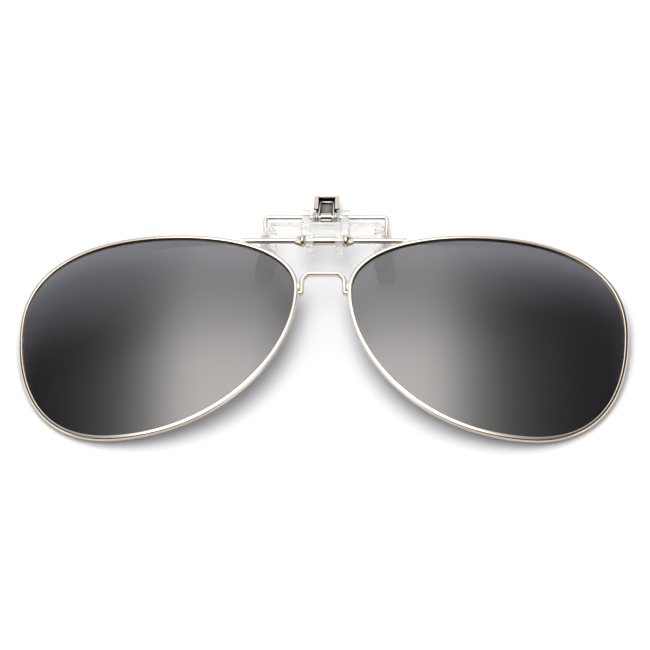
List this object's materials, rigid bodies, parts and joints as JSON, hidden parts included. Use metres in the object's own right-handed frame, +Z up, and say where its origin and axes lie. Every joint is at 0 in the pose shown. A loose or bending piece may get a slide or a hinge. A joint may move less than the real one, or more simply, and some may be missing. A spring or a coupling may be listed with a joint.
{
  "type": "clip-on sunglasses",
  "caption": "Flip-up tinted lenses in wire rims on a hinge rod, held to spectacles by a clear sprung clip with padded grip arms.",
  "frame": {"origin": "middle of the footprint on the table, at table height, with the glasses lying on their back as stored", "axes": "+X to the right along the hinge rod, +Y from the lens bottoms to the brow, +Z up, out of the front of the lenses"},
  "size_m": [0.1374, 0.0676, 0.0111],
  "materials": {
    "rim_metal": "polished pale champagne-silver plating",
    "chrome": "polished nickel plating",
    "solder": "plated brazing, satin",
    "spring_steel": "bright drawn wire",
    "tinted_lens": "dark grey polarised plastic lens, gloss",
    "clear_plastic": "clear moulded plastic, gloss",
    "soft_clear_plastic": "clear soft plastic, slightly frosted"
  },
  "bodies": {
    "clip_base": {"clip_base": "clear_plastic"},
    "lens_frame": {"rim_left": "rim_metal", "rim_right": "rim_metal", "lens_left": "tinted_lens", "lens_right": "tinted_lens", "bridge_wire": "rim_metal", "bridge_solder_left": "solder", "bridge_solder_right": "solder", "hinge_rod": "chrome", "rod_solder_left": "solder", "rod_solder_right": "solder", "spacer_tube": "chrome", "cone_collar_left": "chrome", "cone_collar_right": "chrome"},
    "grip_lever": {"grip_wire": "chrome", "squeeze_tab": "chrome", "tab_weld": "solder", "torsion_spring": "spring_steel", "paddle_left": "soft_clear_plastic", "paddle_right": "soft_clear_plastic"}
  },
  "joints": [
    {"name": "lens_flip", "type": "hinge", "parent": "clip_base", "child": "lens_frame", "pos_m": [0, 0.01588, 0.00958], "axis": [-1, 0, 0], "range_deg": [0, 100]},
    {"name": "grip_open", "type": "hinge", "parent": "clip_base", "child": "grip_lever", "pos_m": [0, 0.02702, 0.00359], "axis": [1, 0, 0], "range_deg": [0, 30], "stiffness_Nm_per_rad": 0.044, "springref_deg": -28.65, "deforming": ["torsion_spring"]}
  ]
}
